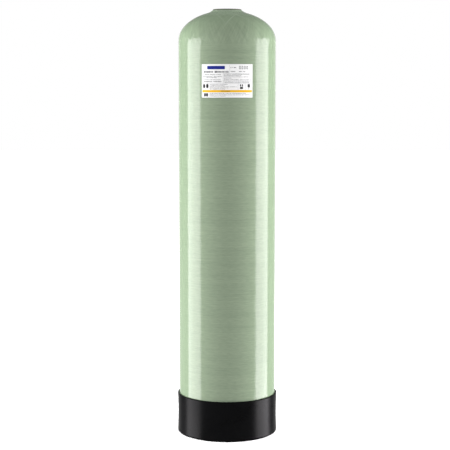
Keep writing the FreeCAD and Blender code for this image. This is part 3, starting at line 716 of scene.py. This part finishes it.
def studio():
    """A pale floor, a white surround, three panels that the shell mirrors, and two fills that it doesn't."""
    world = bpy.data.worlds.new("studio")
    bpy.context.scene.world = world
    world.use_nodes = True
    graph = Nodes(world.node_tree)
    path = graph.add("ShaderNodeLightPath").outputs
    surround = world.node_tree.nodes["Background"]
    direction = graph.add("ShaderNodeTexCoord").outputs["Generated"]
    way = graph.add("ShaderNodeSeparateXYZ", {0: direction}).outputs
    # What the shell mirrors: a dim room, with a bright backdrop behind the vessel
    backdrop = graph.math("MULTIPLY", graph.spread(way[1], 0.76, 0.97),
                          graph.spread(way[2], 0.05, 0.35, 1.0, 0.0))
    # The floor shows in the shell's lower half, and is darker where the base shades it
    pale_floor = graph.math("MULTIPLY", graph.spread(way[2], -0.22, -0.08, 1.0, 0.0),
                            graph.spread(way[2], -0.25, -0.23))
    floor_level = graph.spread(pale_floor, 0.0, 1.0, MIRRORED_ROOM, MIRRORED_FLOOR)
    mirrored = graph.spread(backdrop, 0.0, 1.0, floor_level, MIRRORED_BACKDROP)
    level = graph.blend(path["Is Glossy Ray"], SURROUND_LEVEL, mirrored)
    strength = graph.blend(path["Is Camera Ray"], level, 1.0)
    surround.inputs["Color"].default_value = rgba(1, 1, 1)
    world.node_tree.links.new(strength, surround.inputs["Strength"])

    floor_mesh = bpy.data.meshes.new("floor")
    corners = [(x * FLOOR_REACH, y * FLOOR_REACH, -FLOOR_DROP)
               for x, y in ((-1, -1), (1, -1), (1, 1), (-1, 1))]
    floor_mesh.from_pydata(corners, [], [(0, 1, 2, 3)])
    # The camera sees the floor as plain white, without the shade beside the base
    finish = Finish("pale floor", Roughness=0.9, Specular_IOR_Level=0.0)
    path = finish.add("ShaderNodeLightPath").outputs
    finish.feed("Base Color", finish.mix(path["Is Camera Ray"], rgba(*FLOOR_PAINT), rgba(*FLOOR_SEEN)))
    floor = placed("floor", floor_mesh, finish.material)
    floor.visible_glossy = False

    # Each panel's name, angle from the front, distance, height, own width and height, and power
    panel("left panel", -86.0, 6.0, -0.25, (4.40, 4.1), 18.2, tint=(1.0, 0.975, 1.0))
    panel("right panel", 91.5, 6.0, -0.25, (4.50, 4.1), 16.8, tint=(1.0, 0.945, 1.0))
    panel("low right panel", 91.5, 5.9, -1.95, (4.43, 1.0), 14.8)
    for side, azimuth in (("left", -102.0), ("right", 102.0)):
        fill = panel(side + " fill", azimuth, 3.2, 0.38, (2.2, 0.8), 78.0)
        fill.visible_glossy = False


def panel(name, azimuth, distance, height, size, power, tint=(1, 1, 1)):
    """A soft panel that faces the vessel's axis, at this angle from the front.

    Its power is in watts a square metre.
    """
    lamp = bpy.data.lights.new(name, "AREA")
    lamp.shape = "RECTANGLE"
    lamp.size, lamp.size_y = size
    lamp.energy = power * size[0] * size[1]
    lamp.color = tint
    stand = bpy.data.objects.new(name, lamp)
    bpy.context.scene.collection.objects.link(stand)
    turn = math.radians(azimuth)
    stand.location = (distance * math.sin(turn), -distance * math.cos(turn), height)
    stand.rotation_euler = (math.pi / 2, 0, turn)
    stand.visible_camera = False
    return stand


def camera():
    """The photograph's view: from the front, at about the label's height, a little downwards."""
    data = bpy.data.cameras.new("camera")
    data.sensor_width = 36.0
    data.lens = LENS
    data.shift_x = PIXELS_ACROSS / PHOTO_WIDTH
    data.shift_y = PIXELS_UP / PHOTO_WIDTH
    stand = bpy.data.objects.new("camera", data)
    bpy.context.scene.collection.objects.link(stand)
    stand.location = (0.0, -CAMERA_DISTANCE, CAMERA_HEIGHT)
    stand.rotation_euler = (math.pi / 2 - CAMERA_DIP, 0, 0)
    bpy.context.scene.camera = stand


bpy.context.scene.view_settings.view_transform = "Standard"
camera()
studio()

shell = wound_shell(wound_fibreglass())
insert_plastic = plastic("insert plastic", (0.060, 0.066, 0.042), (0.085, 0.092, 0.062), 0.42)
insert = threaded_insert(insert_plastic)
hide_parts("fibreglass_shell")
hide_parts("neck_insert")
prints = label_print()
for piece in [shell, insert] + prints:
    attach(piece, "root")

dress("base", plastic("base plastic", (0.0030, 0.0030, 0.0033), (0.0050, 0.0050, 0.0055), 0.29, grain=700.0,
                      relief=0.00002, Specular_IOR_Level=0.10))
dress("label", label_film())
dress("liner", plastic("liner plastic", (0.62, 0.65, 0.63), (0.70, 0.72, 0.70), 0.45, mottle=10.0))
dress("base_adhesive", plastic("set glue", (0.42, 0.36, 0.20), (0.56, 0.49, 0.30), 0.5, grain=260.0,
                               mottle=60.0, relief=0.0002))
dress("riser_tube", plastic("pipe plastic", (0.62, 0.62, 0.59), (0.68, 0.68, 0.65), 0.36, grain=420.0,
                            stretch=(1, 1, 0.05)))
strainer_plastic = plastic("strainer plastic", (0.085, 0.092, 0.105), (0.115, 0.122, 0.135), 0.42)
for node in ("distributor_head", "distributor_screen", "distributor_cap"):
    dress(node, strainer_plastic)
